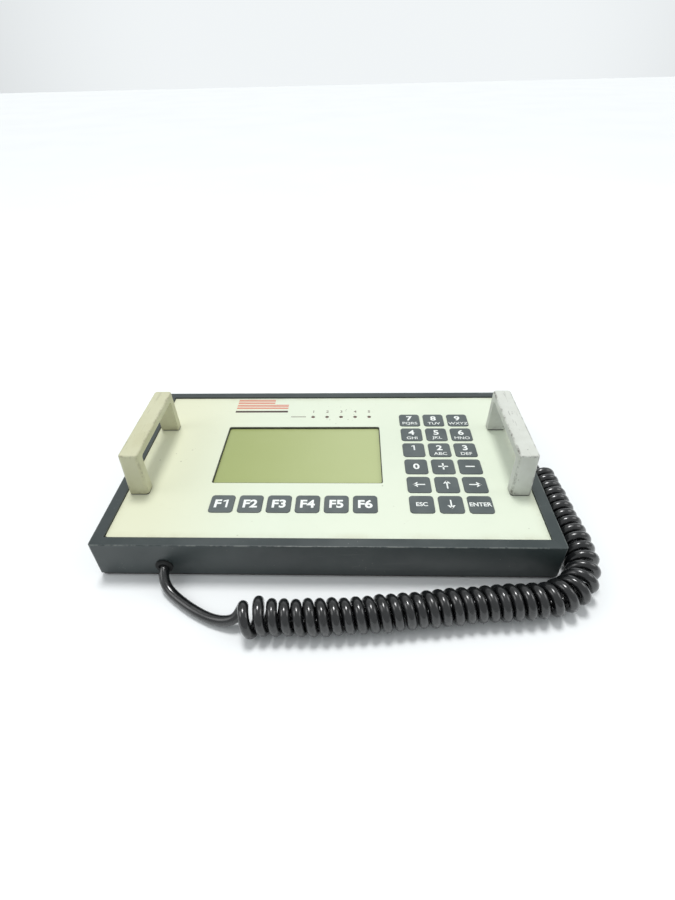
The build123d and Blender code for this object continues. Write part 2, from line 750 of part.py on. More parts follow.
with BuildPart() as plug_shell:
    with BuildSketch(plug_plane):
        with BuildLine():
            Polyline((boot_length, 0), (boot_length, 6.2), (boot_length + 0.5, grip_radius),
                     (grip_end, grip_radius), (grip_end, collar_radius),
                     (collar_end, collar_radius), (collar_end, 5.8), (shell_end, 5.8),
                     (shell_end, 5.0), (collar_end + 2, 5.0), (collar_end + 2, 0), close=True)
        make_face()
    revolve(axis=plug_axis)
save(plug_shell, "plug_shell")

with BuildPart() as plug_ring:
    with BuildSketch(plug_plane):
        with BuildLine():
            Polyline((grip_end + 0.1, collar_radius + fit), (grip_end + 0.1, ring_radius - 0.5),
                     (grip_end + 0.6, ring_radius), (ring_end - 0.6, ring_radius),
                     (ring_end, ring_radius - 0.6), (ring_end, ring_bore),
                     (collar_end + 0.5, ring_bore), (collar_end + 0.5, collar_radius + fit),
                     close=True)
        make_face()
    revolve(axis=plug_axis)
    # finger flutes round the ring
    with BuildSketch(Plane(origin=(plug_back - grip_end - 2, plug_y, plug_z),
                           z_dir=(-1, 0, 0))):
        with PolarLocations(ring_radius + 0.35, 20):
            Circle(0.8)
    extrude(amount=ring_end - grip_end - 4, mode=Mode.SUBTRACT)
save(plug_ring, "plug_ring")

with BuildPart() as plug_insert:
    with BuildSketch(Plane(origin=(plug_back - collar_end - 2, plug_y, plug_z),
                           z_dir=(-1, 0, 0))):
        Circle(5.0 - fit)
        Circle(0.55, mode=Mode.SUBTRACT)
        with PolarLocations(3.0, 6):
            Circle(0.55, mode=Mode.SUBTRACT)
    extrude(amount=3.5)
save(plug_insert, "plug_insert")

with BuildPart() as plug_contacts:
    with BuildSketch(Plane(origin=(plug_back - collar_end - 2, plug_y, plug_z),
                           z_dir=(-1, 0, 0))):
        Circle(0.5)
        with PolarLocations(3.0, 6):
            Circle(0.5)
    extrude(amount=8.0)
save(plug_contacts, "plug_contacts")

report_tube("cord_lead", cord_lead, lead_route, cord_radius)
report_tube("cord_coil", cord_coil, coil_route, coil_radius)
report_tube("cord_tail", cord_tail, tail_route, cord_radius)
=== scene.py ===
import math

import bpy
import numpy as np
from mathutils import Matrix, Vector


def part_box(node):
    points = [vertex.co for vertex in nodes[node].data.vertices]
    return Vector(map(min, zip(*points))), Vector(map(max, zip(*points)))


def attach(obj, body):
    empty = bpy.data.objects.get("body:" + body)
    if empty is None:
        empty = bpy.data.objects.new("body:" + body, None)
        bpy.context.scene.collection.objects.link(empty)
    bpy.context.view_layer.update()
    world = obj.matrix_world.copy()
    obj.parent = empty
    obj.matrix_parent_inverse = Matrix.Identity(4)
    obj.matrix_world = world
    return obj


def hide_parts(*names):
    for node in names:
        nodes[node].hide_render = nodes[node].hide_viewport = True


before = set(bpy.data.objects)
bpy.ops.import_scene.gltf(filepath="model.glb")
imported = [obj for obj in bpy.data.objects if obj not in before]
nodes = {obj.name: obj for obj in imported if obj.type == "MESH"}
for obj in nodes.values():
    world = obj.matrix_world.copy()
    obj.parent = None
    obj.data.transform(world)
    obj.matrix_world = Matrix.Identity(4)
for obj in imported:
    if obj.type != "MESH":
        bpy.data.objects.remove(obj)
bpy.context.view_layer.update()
scene = bpy.context.scene
MM = 0.001

# where the surfaces that the materials follow are, in millimetres
CASE_X, CASE_Y, CASE_TOP = 138, 82.5, 28            # half width, half depth, height of the rim
PANEL_X, PANEL_Y = 130.5, 75.8                      # half width and half depth
HANDLE_X, HANDLE_TOP, HANDLE_FOOT = 122.25, 58, 27.6
SCREEN_X, SCREEN_Y = -20.8, 4.4                     # the middle of the screen


# ---------------------------------------------------------------- the camera and the light
def camera():
    data = bpy.data.cameras.new("camera")
    data.sensor_width = 36
    data.lens = 19.93
    data.clip_start = 0.01
    data.clip_end = 30
    cam = bpy.data.objects.new("camera", data)
    scene.collection.objects.link(cam)
    elevation, yaw, roll = (math.radians(v) for v in (38.48, -2.51, -1.55))
    forward = Vector((math.sin(yaw) * math.cos(elevation), math.cos(yaw) * math.cos(elevation),
                      -math.sin(elevation)))
    right = Vector((math.cos(yaw), -math.sin(yaw), 0))
    up = right.cross(forward)
    right, up = (math.cos(roll) * right + math.sin(roll) * up,
                 math.cos(roll) * up - math.sin(roll) * right)
    turn = Matrix((right, up, -forward)).transposed().to_4x4()
    cam.matrix_world = Matrix.Translation(Vector((17.4, -270.3, 248.1)) * MM) @ turn
    scene.camera = cam


def area_light(name, place, target, size, power, color=(1, 1, 1)):
    data = bpy.data.lights.new(name, "AREA")
    data.shape = "RECTANGLE"
    data.size, data.size_y = size
    data.energy = power
    data.color = color
    light = bpy.data.objects.new(name, data)
    scene.collection.objects.link(light)
    light.location = place
    light.rotation_euler = (Vector(target) - Vector(place)).to_track_quat("-Z", "Y").to_euler()


def surroundings():
    world = bpy.data.worlds.new("studio")
    scene.world = world
    world.use_nodes = True
    tree = world.node_tree
    sky = tree.nodes["Background"]
    sky.inputs["Color"].default_value = (0.95, 0.985, 1, 1)
    # a pale screen stands a little brighter behind the object
    place = tree.nodes.new("ShaderNodeTexCoord")
    split = tree.nodes.new("ShaderNodeSeparateXYZ")
    screen = tree.nodes.new("ShaderNodeMapRange")
    screen.interpolation_type = "SMOOTHSTEP"
    for socket, value in (("From Min", 0.72), ("From Max", 0.97), ("To Min", 0.56),
                          ("To Max", 0.93)):
        screen.inputs[socket].default_value = value
    tree.links.new(place.outputs["Generated"], split.inputs["Vector"])
    tree.links.new(split.outputs["Y"], screen.inputs["Value"])
    tree.links.new(screen.outputs["Result"], sky.inputs["Strength"])
    data = bpy.data.lights.new("overhead", "SUN")
    data.energy = 1.8
    data.angle = math.radians(16)
    overhead = bpy.data.objects.new("overhead", data)
    scene.collection.objects.link(overhead)
    overhead.rotation_euler = Vector((0.06, -0.27, -1)).to_track_quat("-Z", "Y").to_euler()
    area_light("left", (-1.0, -0.2, 0.8), (0, 0, 0), (0.6, 0.6), 2.2)
    area_light("right", (1.1, 0.1, 0.7), (0, 0, 0), (0.5, 0.5), 1.8)
    scene.view_settings.view_transform = "Standard"


camera()
surroundings()


# ---------------------------------------------------------------- materials
def srgb(red, green, blue):
    """A colour read on a 0 to 255 screen scale, as Blender's linear light."""
    return tuple(((v / 255 + 0.055) / 1.055) ** 2.4 if v > 10 else v / 255 / 12.92
                 for v in (red, green, blue))


class Look:
    """A principled material and the nodes that vary it."""

    def __init__(self, name, color, roughness, **sockets):
        self.material = bpy.data.materials.new(name)
        self.material.use_nodes = True
        self.tree = self.material.node_tree
        self.shader = self.tree.nodes["Principled BSDF"]
        self.shader.inputs["Base Color"].default_value = (*color, 1)
        self.shader.inputs["Roughness"].default_value = roughness
        for socket, value in sockets.items():
            self.shader.inputs[socket.replace("_", " ")].default_value = value
        self.place = self.add("ShaderNodeTexCoord").outputs["Object"]

    def add(self, kind, inputs=(), **settings):
        node = self.tree.nodes.new(kind)
        for key, value in settings.items():
            setattr(node, key, value)
        for key, value in dict(inputs).items():
            if isinstance(value, bpy.types.NodeSocket):
                self.tree.links.new(value, node.inputs[key])
            else:
                node.inputs[key].default_value = value
        return node

    def stretched(self, scale, turn=(0, 0, 0)):
        node = self.add("ShaderNodeMapping", {"Vector": self.place, "Scale": scale,
                                              "Rotation": turn})
        return node.outputs["Vector"]

    def noise(self, scale, detail=3, rough=0.5, place=None, warp=0.0):
        node = self.add("ShaderNodeTexNoise", {
            "Vector": place or self.place, "Scale": scale, "Detail": detail,
            "Roughness": rough, "Distortion": warp})
        return node.outputs["Fac"]

    def cells(self, scale, place=None, feature="F1"):
        node = self.add("ShaderNodeTexVoronoi", {"Vector": place or self.place, "Scale": scale},
                        feature=feature)
        return node.outputs["Distance"]

    def fade(self, value, start, end, low=0.0, high=1.0):
        """low up to start, high from end, and smooth between."""
        node = self.add("ShaderNodeMapRange", {
            "Value": value, "From Min": start, "From Max": end, "To Min": low,
            "To Max": high}, interpolation_type="SMOOTHSTEP")
        return node.outputs["Result"]

    def math(self, operation, a, b=0.0):
        node = self.add("ShaderNodeMath", {0: a, 1: b}, operation=operation)
        return node.outputs["Value"]

    def axes(self):
        node = self.add("ShaderNodeSeparateXYZ", {"Vector": self.place})
        return node.outputs["X"], node.outputs["Y"], node.outputs["Z"]

    def blend(self, factor, a, b):
        node = self.add("ShaderNodeMix", {0: factor, 6: (*a, 1) if isinstance(a, tuple) else a,
                                          7: (*b, 1) if isinstance(b, tuple) else b},
                        data_type="RGBA")
        return node.outputs[2]

    def color(self, socket):
        self.tree.links.new(socket, self.shader.inputs["Base Color"])

    def roughness(self, socket):
        self.tree.links.new(socket, self.shader.inputs["Roughness"])

    def bump(self, height, strength, distance, below=None):
        inputs = {"Height": height, "Strength": strength, "Distance": distance}
        if below:
            inputs["Normal"] = below
        node = self.add("ShaderNodeBump", inputs)
        self.tree.links.new(node.outputs["Normal"], self.shader.inputs["Normal"])
        return node.outputs["Normal"]


def near_edge(look, planes, width):
    """1 within a width of an edge, where two of the three distances to the planes are small."""
    a, b, c = planes
    middle = look.math("MAXIMUM", look.math("MINIMUM", a, b),
                       look.math("MINIMUM", look.math("MAXIMUM", a, b), c))
    return look.fade(middle, width, 0.2 * width)


def case_paint():
    look = Look("case_paint", srgb(50, 56, 58), 0.36, Specular_IOR_Level=0.55)
    x, y, z = look.axes()
    side = look.math("SUBTRACT", CASE_X * MM, look.math("ABSOLUTE", x))
    end = look.math("SUBTRACT", CASE_Y * MM, look.math("ABSOLUTE", y))
    top = look.math("SUBTRACT", CASE_TOP * MM, z)
    patch = look.noise(18, 4, 0.6)
    grain = look.noise(1400, 2)
    tone = look.blend(look.fade(patch, 0.3, 0.7), srgb(42, 51, 52), srgb(54, 63, 63))
    # worn edges, paler where the coating has rubbed through
    wear = look.math("MULTIPLY", near_edge(look, (side, end, top), 0.9 * MM),
                     look.fade(look.noise(160, 4, 0.7), 0.42, 0.62))
    tone = look.blend(look.math("MULTIPLY", wear, 0.55), tone, srgb(128, 134, 130))
    # fine scratches along the walls, and specks
    scratch = look.noise(60, 2, 0.6, look.stretched((0.6, 6, 26)), 0.3)
    scratch = look.math("MULTIPLY", look.fade(scratch, 0.68, 0.73),
                        look.fade(look.noise(30, 2), 0.45, 0.6))
    tone = look.blend(look.math("MULTIPLY", scratch, 0.4), tone, srgb(108, 114, 112))
    speck = look.math("MULTIPLY", look.fade(look.cells(420), 0.13, 0.07),
                      look.fade(look.noise(70, 3), 0.56, 0.66))
    tone = look.blend(look.math("MULTIPLY", speck, 0.6), tone, srgb(142, 146, 140))
    # the mitred joints of the frame's four corners
    mitre = look.math("ABSOLUTE", look.math("SUBTRACT", side, end))
    line = look.math("MULTIPLY", look.fade(mitre, 0.16 * MM, 0.05 * MM),
                     look.fade(top, 0.5 * MM, 0.1 * MM))
    tone = look.blend(look.math("MULTIPLY", line, 0.75), tone, srgb(30, 33, 33))
    look.color(tone)
    look.roughness(look.fade(look.noise(45, 4, 0.65), 0.3, 0.7, 0.3, 0.44))
    fine = look.bump(grain, 0.25, 0.05 * MM)
    look.bump(look.math("ADD", scratch, line), 0.3, -0.04 * MM, fine)
    return look.material


def panel_coating():
    look = Look("panel_coating", srgb(216, 225, 204), 0.5, Specular_IOR_Level=0.4)
    x, y, _ = look.axes()
    patch = look.fade(look.noise(9, 5, 0.6), 0.3, 0.7)
    cool = look.blend(patch, srgb(213, 222, 203), srgb(219, 227, 208))
    # yellowed towards the left end
    tone = look.blend(look.fade(x, -30 * MM, -125 * MM, 0, 0.75), cool, srgb(216, 216, 186))
    # soft grime towards the rim and round the handles' feet
    side = look.math("SUBTRACT", PANEL_X * MM, look.math("ABSOLUTE", x))
    end = look.math("SUBTRACT", PANEL_Y * MM, look.math("ABSOLUTE", y))
    border = look.fade(look.math("MINIMUM", side, end), 7 * MM, 0.5 * MM)
    grime = look.math("MULTIPLY", border, look.fade(look.noise(38, 5, 0.7), 0.35, 0.7))
    tone = look.blend(look.math("MULTIPLY", grime, 0.3), tone, srgb(176, 170, 138))
    dusty = look.fade(look.noise(110, 5, 0.75), 0.6, 0.78)
    tone = look.blend(look.math("MULTIPLY", dusty, 0.16), tone, srgb(168, 160, 130))
    # small dark marks, few and scattered
    mark = look.math("MULTIPLY", look.fade(look.cells(160, look.stretched((1, 1.5, 0.2))),
                                           0.12, 0.05),
                     look.fade(look.noise(24, 2), 0.6, 0.66))
    tone = look.blend(look.math("MULTIPLY", mark, 0.65), tone, srgb(110, 100, 84))
    # the coating is chipped at its front left corner
    across = look.math("ADD", x, PANEL_X * MM)
    ahead = look.math("ADD", y, PANEL_Y * MM)
    corner = look.math("ADD", look.math("ADD", across, ahead),
                       look.math("MULTIPLY", look.noise(500, 3, 0.6), 2.2 * MM))
    chip = look.fade(corner, 3.4 * MM, 3.1 * MM)
    tone = look.blend(chip, tone, srgb(92, 86, 74))
    look.color(tone)
    look.roughness(look.fade(look.noise(60, 4, 0.6), 0.3, 0.7, 0.44, 0.58))
    look.bump(look.noise(900, 3, 0.6), 0.22, 0.04 * MM)
    return look.material


def key_plastic():
    look = Look("key_plastic", srgb(84, 92, 92), 0.42, Specular_IOR_Level=0.45)
    tone = look.blend(look.fade(look.noise(55, 3), 0.3, 0.7), srgb(78, 86, 87),
                      srgb(89, 97, 97))
    dust = look.fade(look.noise(520, 4, 0.75), 0.66, 0.8)
    tone = look.blend(look.math("MULTIPLY", dust, 0.3), tone, srgb(140, 146, 142))
    look.color(tone)
    look.roughness(look.fade(look.noise(140, 4), 0.3, 0.7, 0.36, 0.5))
    look.bump(look.noise(1500, 2), 0.15, 0.03 * MM)
    return look.material


def handle_paint(name, pale, worn, dirt, grime_share, scuff_share, sign):
    look = Look(name, pale, 0.48, Specular_IOR_Level=0.45)
    x, y, z = look.axes()
    tone = look.blend(look.fade(look.noise(30, 5, 0.65), 0.32, 0.68), pale, worn)
    # grime in the corners and along the bar's edges
    middle = look.math("ABSOLUTE", look.math("SUBTRACT", x, sign * HANDLE_X * MM))
    side = look.math("SUBTRACT", 6.1 * MM, middle)
    end = look.math("SUBTRACT", 37.8 * MM, look.math("ABSOLUTE", y))
    top = look.math("SUBTRACT", HANDLE_TOP * MM, z)
    edge = near_edge(look, (side, end, top), 1.6 * MM)
    rubbed = look.math("MULTIPLY", edge, look.fade(look.noise(210, 5, 0.75), 0.42, 0.64))
    tone = look.blend(look.math("MULTIPLY", rubbed, grime_share), tone, dirt)
    foot = look.math("MULTIPLY", look.fade(z, (HANDLE_FOOT + 5) * MM, HANDLE_FOOT * MM),
                     look.fade(look.noise(130, 4, 0.7), 0.3, 0.7))
    tone = look.blend(look.math("MULTIPLY", foot, 0.35), tone, dirt)
    # long scratches on the top face, and pits
    scratch = look.noise(90, 3, 0.65, look.stretched((8, 0.7, 2), (0, 0, 0.05)), 0.4)
    scratch = look.math("MULTIPLY", look.fade(scratch, 0.6, 0.68), look.fade(top, 4 * MM, 0.5 * MM))
    tone = look.blend(look.math("MULTIPLY", scratch, scuff_share), tone, dirt)
    pit = look.math("MULTIPLY", look.fade(look.cells(330), 0.2, 0.1),
                    look.fade(look.noise(80, 3), 0.55, 0.64))
    tone = look.blend(look.math("MULTIPLY", pit, 0.5), tone, dirt)
    look.color(tone)
    look.roughness(look.fade(look.noise(70, 4), 0.3, 0.7, 0.4, 0.58))
    fine = look.bump(look.noise(700, 3, 0.6), 0.3, 0.06 * MM)
    look.bump(look.math("ADD", scratch, pit), 0.4, -0.08 * MM, fine)
    return look.material


def lcd_cell(name):
    look = Look(name, srgb(166, 177, 118), 0.35, Specular_IOR_Level=0.5, Coat_Weight=0.35,
                Coat_Roughness=0.06)
    x, y, _ = look.axes()
    # painted reflection: the screen is coloured lighter towards the right, where it would mirror
    # the pale wall
    across = look.fade(x, -78 * MM, 36 * MM)
    tone = look.blend(across, srgb(156, 167, 104), srgb(176, 186, 132))
    # the edges of the dots, 0.47 mm apart
    column = look.math("PINGPONG", look.math("ADD", x, 1.0), 0.235 * MM)
    row = look.math("PINGPONG", look.math("ADD", y, 1.0), 0.235 * MM)
    lines = look.fade(look.math("MINIMUM", column, row), 0.035 * MM, 0.015 * MM)
    tone = look.blend(look.math("MULTIPLY", lines, 0.09), tone, srgb(110, 120, 70))
    haze = look.fade(look.noise(16, 4, 0.6), 0.35, 0.7)
    tone = look.blend(look.math("MULTIPLY", haze, 0.12), tone, srgb(186, 194, 146))
    look.color(tone)
    look.bump(look.noise(1200, 2), 0.05, 0.02 * MM)
    return look.material


def cord_sheath():
    look = Look("cord_sheath", srgb(12, 13, 15), 0.24, Specular_IOR_Level=0.6, Coat_Weight=0.5,
                Coat_Roughness=0.1)
    tone = look.blend(look.fade(look.noise(90, 4, 0.6), 0.3, 0.75), srgb(11, 12, 13),
                      srgb(24, 25, 27))
    dust = look.math("MULTIPLY", look.fade(look.noise(900, 5, 0.8), 0.6, 0.8),
                     look.fade(look.noise(40, 3), 0.4, 0.7))
    tone = look.blend(look.math("MULTIPLY", dust, 0.3), tone, srgb(86, 88, 86))
    look.color(tone)
    look.roughness(look.fade(look.noise(150, 4, 0.65), 0.3, 0.7, 0.2, 0.34))
    look.bump(look.noise(650, 3, 0.6), 0.18, 0.05 * MM)
    return look.material


def rubber(name="black_rubber", color=srgb(26, 27, 27)):
    look = Look(name, color, 0.7, Specular_IOR_Level=0.35)
    tone = look.blend(look.fade(look.noise(120, 4, 0.6), 0.35, 0.7), color,
                      tuple(v * 1.7 + 0.004 for v in color))
    look.color(tone)
    look.bump(look.noise(800, 4, 0.65), 0.35, 0.08 * MM)
    return look.material


def metal(name, color, roughness, brushed=(1, 1, 1), strength=0.15):
    look = Look(name, color, roughness, Metallic=1.0)
    streak = look.noise(260, 4, 0.6, look.stretched(brushed))
    look.color(look.blend(look.fade(streak, 0.3, 0.7), tuple(v * 0.88 for v in color), color))
    look.roughness(look.fade(look.noise(90, 4, 0.65), 0.3, 0.7, roughness * 0.8, roughness * 1.3))
    look.bump(streak, strength, 0.03 * MM)
    return look.material


def plastic(name, color, roughness=0.45, speckle=0.12):
    look = Look(name, color, roughness, Specular_IOR_Level=0.45)
    tone = look.blend(look.fade(look.noise(75, 4, 0.6), 0.3, 0.7),
                      tuple(v * (1 - speckle) for v in color),
                      tuple(min(1, v * (1 + speckle)) for v in color))
    look.color(tone)
    look.roughness(look.fade(look.noise(110, 3), 0.3, 0.7, roughness * 0.85, roughness * 1.2))
    look.bump(look.noise(1000, 3), 0.2, 0.04 * MM)
    return look.material


def circuit_board():
    look = Look("circuit_board", srgb(24, 92, 52), 0.35, Specular_IOR_Level=0.5, Coat_Weight=0.3,
                Coat_Roughness=0.2)
    x, y, _ = look.axes()
    track = look.math("MINIMUM", look.math("PINGPONG", look.math("ADD", x, 1.0), 1.27 * MM),
                      look.math("PINGPONG", look.math("ADD", y, 1.0), 1.9 * MM))
    track = look.math("MULTIPLY", look.fade(track, 0.3 * MM, 0.2 * MM),
                      look.fade(look.noise(45, 1), 0.45, 0.5))
    tone = look.blend(track, srgb(20, 78, 44), srgb(44, 124, 72))
    look.color(tone)
    look.bump(track, 0.3, 0.03 * MM)
    return look.material


def printed(name, color, bare):
    """Screen-printed ink, worn thin in places."""
    look = Look(name, color, 0.55, Specular_IOR_Level=0.35)
    thin = look.fade(look.noise(700, 4, 0.7), 0.55, 0.78)
    look.color(look.blend(look.math("MULTIPLY", thin, 0.35), color, bare))
    look.bump(look.noise(1500, 2), 0.1, 0.01 * MM)
    return look.material


def floor_paper():
    look = Look("floor_paper", (0.88, 0.9, 0.905), 0.75, Specular_IOR_Level=0.15)
    look.color(look.blend(look.fade(look.noise(3, 3), 0.3, 0.7), (0.87, 0.89, 0.895),
                          (0.89, 0.91, 0.915)))
    look.bump(look.noise(500, 2), 0.03, 0.05 * MM)
    return look.material


grey_case = case_paint()
cream = panel_coating()
key_top = key_plastic()
sheath = cord_sheath()
black_rubber = rubber()
steel = metal("screw_steel", srgb(178, 178, 174), 0.34)
sheet_metal = metal("sheet_metal", srgb(184, 186, 186), 0.4, (0.4, 14, 14), 0.25)
nickel = metal("plated_nickel", srgb(196, 193, 184), 0.26)
brass = metal("brass_turned", srgb(200, 165, 92), 0.3)
gold = metal("gold_contact", srgb(222, 180, 96), 0.24)
black_plastic = plastic("black_plastic", srgb(30, 31, 31))
white_plastic = plastic("white_plastic", srgb(222, 222, 214), 0.4, 0.04)
board = circuit_board()
# the bottom cover's dark brown is partly its own paint and partly painted shade, standing for the
# shadow under the front wall
base_with_painted_shade = plastic("base_paint_and_shade", srgb(44, 36, 32), 0.4, 0.15)
lens = plastic("light_lens", srgb(96, 62, 56), 0.25)

finish = {
    "case_frame": grey_case, "front_panel": cream, "bottom_cover": base_with_painted_shade,
    "panel_gasket": black_rubber, "rubber_feet": black_rubber, "handle_seals": black_rubber,
    "cord_grommet": black_rubber, "keypad_mat": black_rubber, "plug_boot": black_rubber,
    "cover_screws": steel, "handle_screws": steel, "board_screws": steel,
    "backup_battery": nickel, "corner_pillars": sheet_metal, "lcd_bezel": sheet_metal,
    "lcd_window": lcd_cell("lcd_front"), "lcd_glass": lcd_cell("lcd_cell"),
    "lcd_backlight": white_plastic,
    "lcd_board": board, "keypad_board": board, "main_board": board, "board_posts": brass,
    "board_chips": black_plastic, "cord_header": black_plastic, "cord_clamp": black_plastic,
    "ribbon_cables": white_plastic, "status_lights": lens, "plug_shell": nickel,
    "plug_ring": nickel, "plug_insert": black_plastic, "plug_contacts": gold,
    "handle_left": handle_paint("handle_cream", srgb(200, 200, 170), srgb(190, 189, 156),
                                srgb(108, 100, 76), 0.5, 0.18, -1),
    "handle_right": handle_paint("handle_white", srgb(212, 215, 208), srgb(198, 201, 192),
                                 srgb(86, 82, 76), 0.85, 0.6, 1),
}
for name, node in nodes.items():
    look = key_top if name.startswith("key_") else finish.get(name)
    if look:
        node.data.materials.clear()
        node.data.materials.append(look)


# ---------------------------------------------------------------- pieces
def add_mesh(name, vertices, faces, material, smooth=False):
    mesh = bpy.data.meshes.new(name)
    mesh.from_pydata([tuple(v) for v in vertices], [], faces)
    mesh.update()
    mesh.materials.append(material)
    if smooth:
        mesh.shade_smooth()
    obj = bpy.data.objects.new(name, mesh)
    scene.collection.objects.link(obj)
    return obj


def floor():
    size = 6.0
    obj = bpy.data.objects.new("floor", bpy.data.meshes.new("floor"))
    obj.data.from_pydata([(-size, -size, 0), (size, -size, 0), (size, size, 0), (-size, size, 0)],
                         [], [(0, 1, 2, 3)])
    obj.data.materials.append(floor_paper())
    scene.collection.objects.link(obj)


floor()


# ---------------------------------------------------------------- the cord
LEAD = [(-96.5, -64, 10), (-96.5, -74.5, 10), (-96.5, -83.5, 9.8), (-95.7, -89.3, 7.6),
        (-92.9, -94.2, 4.6), (-87.5, -98.8, 3.2), (-79.5, -104.6, 3.1), (-71, -109.8, 3.1),
        (-62, -114, 3.12), (-53.5, -116.3, 4.8), (-46.8, -116.3, 8.2)]
COIL = [(-40, -116.3, 10.25), (-12, -117, 10.25), (24, -114.8, 10.25), (61, -110.2, 10.25),
        (92, -106.6, 10.25), (113, -105.3, 10.25), (129.2, -103.3, 10.25),
        (143.3, -95.3, 10.25), (151.5, -81.2, 10.25), (151.9, -62, 10.25),
        (150.6, -42, 10.25), (149.4, -22, 10.25), (148.9, -3, 10.25)]
TAIL = [(148.7, 9, 9.4), (147.6, 25, 5.8), (146.6, 42, 3.1), (146.9, 58, 3.15),
        (148.2, 73, 3.1), (147.6, 86, 3.1), (142.3, 96.2, 3.1), (133, 101.3, 3.1),
        (121.5, 100.6, 3.4), (111.5, 96.4, 5.9), (101.8, 93.4, 8.05), (92, 93.4, 8.05)]


def spline_points(points, resolution):
    """Points along the smooth curve whose control points are given, in metres."""
    data = bpy.data.curves.new("route", "CURVE")
    data.dimensions = "3D"
    data.resolution_u = resolution
    spline = data.splines.new("NURBS")
    spline.points.add(len(points) - 1)
    for point, place in zip(spline.points, points):
        point.co = (*(v * MM for v in place), 1)
    spline.order_u = 3
    spline.use_endpoint_u = True
    route = bpy.data.objects.new("route", data)
    scene.collection.objects.link(route)
    line = bpy.data.meshes.new_from_object(route)
    found = np.array([v.co for v in line.vertices])
    bpy.data.objects.remove(route)
    bpy.data.curves.remove(data)
    bpy.data.meshes.remove(line)
    return found


def along(points):
    """The distance along a line at each of its points."""
    steps = np.linalg.norm(np.diff(points, axis=0), axis=1)
    return np.concatenate([[0], np.cumsum(steps)])


def resampled(points, step):
    """The same line with its points a step apart."""
    s = along(points)
    places = np.linspace(0, s[-1], int(round(s[-1] / step)) + 1)
    return np.stack([np.interp(places, s, points[:, k]) for k in range(3)], axis=1)


def smooth(values, reach):
    """Each value's average over its neighbours within reach places."""
    padded = np.pad(values, reach, mode="edge")
    return np.convolve(padded, np.ones(2 * reach + 1) / (2 * reach + 1), mode="valid")


def ease(value, start, end):
    """0 up to start, 1 from end, and smooth between."""
    t = np.clip((value - start) / (end - start), 0, 1)
    return t * t * (3 - 2 * t)


def curly_path():
    """The cord's own centre line: the lead, the coil's turns and the tail."""
    line = resampled(spline_points(LEAD + COIL + TAIL, 24), 0.25 * MM)
    s = along(line)
    first = s[np.argmin(np.linalg.norm(line - np.array(COIL[0]) * MM, axis=1))]
    last = s[np.argmin(np.linalg.norm(line - np.array(COIL[-1]) * MM, axis=1))]
    forward = np.gradient(line, s, axis=0)
    forward /= np.linalg.norm(forward, axis=1)[:, None]
    side = np.cross(forward, (0, 0, 1))
    side /= np.linalg.norm(side, axis=1)[:, None]
    up = np.cross(side, forward)
    # turns touch on the inside of each bend, so they are further apart along its middle
    bend = smooth(np.linalg.norm(np.gradient(forward, s, axis=0), axis=1), 60)
    radius = 7.35 * MM
    pitch = 6.5 * MM / (1 - 0.86 * radius * np.minimum(bend, 1 / (20 * MM)))
    rise = ease(s, first - 9 * MM, first) * (1 - ease(s, last - 1 * MM, last + 9 * MM))
    turning = ease(s, first - 4 * MM, first - 1 * MM) * (1 - ease(s, last - 2 * MM, last + 7 * MM))
    steps = turning / pitch
    # the lead comes up behind the first turn
    angle = 2 * math.pi * np.concatenate([[0], np.cumsum((steps[1:] + steps[:-1]) / 2
                                                         * np.diff(s))]) - 0.95
    # a real coil isn't quite even: some turns stand a little taller or lean
    tall = radius * (1 + 0.025 * np.sin(angle / 5.3 + 1) + 0.02 * np.sin(angle / 2.1))
    tall *= 1 + 0.16 * np.exp(-((s - first - 2 * MM) / (5 * MM)) ** 2)
    reach = (tall * rise)[:, None]
    path = line + reach * (up * np.cos(angle)[:, None] + side * np.sin(angle)[:, None])
    path[:, 2] = np.maximum(path[:, 2], 3.05 * MM)
    # a thick cord can't bend sharply where the turns begin and end
    path = resampled(path, 0.5 * MM)
    path = np.stack([smooth(path[:, k], 6) for k in range(3)], axis=1)
    return path


def tube(path, radius, sides):
    """Vertices and faces of a tube round a line, closed at both ends."""
    forward = np.gradient(path, axis=0)
    forward /= np.linalg.norm(forward, axis=1)[:, None]
    across = np.cross(forward[0], (0, 0, 1.0))
    across /= np.linalg.norm(across)
    rings = []
    for place, ahead in zip(path, forward):
        across = across - ahead * across.dot(ahead)
        across /= np.linalg.norm(across)
        over = np.cross(ahead, across)
        rings.append([place + radius * (math.cos(a) * across + math.sin(a) * over)
                      for a in np.linspace(0, 2 * math.pi, sides, endpoint=False)])
    vertices = np.array(rings).reshape(-1, 3)
    faces = [(r * sides + k, r * sides + (k + 1) % sides, (r + 1) * sides + (k + 1) % sides,
              (r + 1) * sides + k) for r in range(len(path) - 1) for k in range(sides)]
    faces.append(tuple(reversed(range(sides))))
    faces.append(tuple(range(len(vertices) - sides, len(vertices))))
    return vertices, faces


wire = resampled(curly_path(), 1.5 * MM)
vertices, faces = tube(wire, 3 * MM, 16)
cord = add_mesh("curly_cord", vertices, faces, sheath, smooth=True)
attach(cord, "case")
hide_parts("cord_lead", "cord_coil", "cord_tail")

# ---------------------------------------------------------------- legends
INK = 0.04 * MM     # how far printing stands above what it is printed on


def outline_mesh(shapes, height):
    """Flat shapes in millimetres, each a list of corners anticlockwise, made into thin slabs."""
    vertices, faces = [], []
    for shape in shapes:
        start, n = len(vertices), len(shape)
        for level in (0, height):
            vertices += [(x * MM, y * MM, level) for x, y in shape]
        faces.append(tuple(start + k for k in reversed(range(n))))
        faces.append(tuple(start + n + k for k in range(n)))
        faces += [(start + k, start + (k + 1) % n, start + n + (k + 1) % n, start + n + k)
                  for k in range(n)]
    return vertices, faces


def bar(x, y, width, height):
    return [(x - width / 2, y - height / 2), (x + width / 2, y - height / 2),
            (x + width / 2, y + height / 2), (x - width / 2, y + height / 2)]


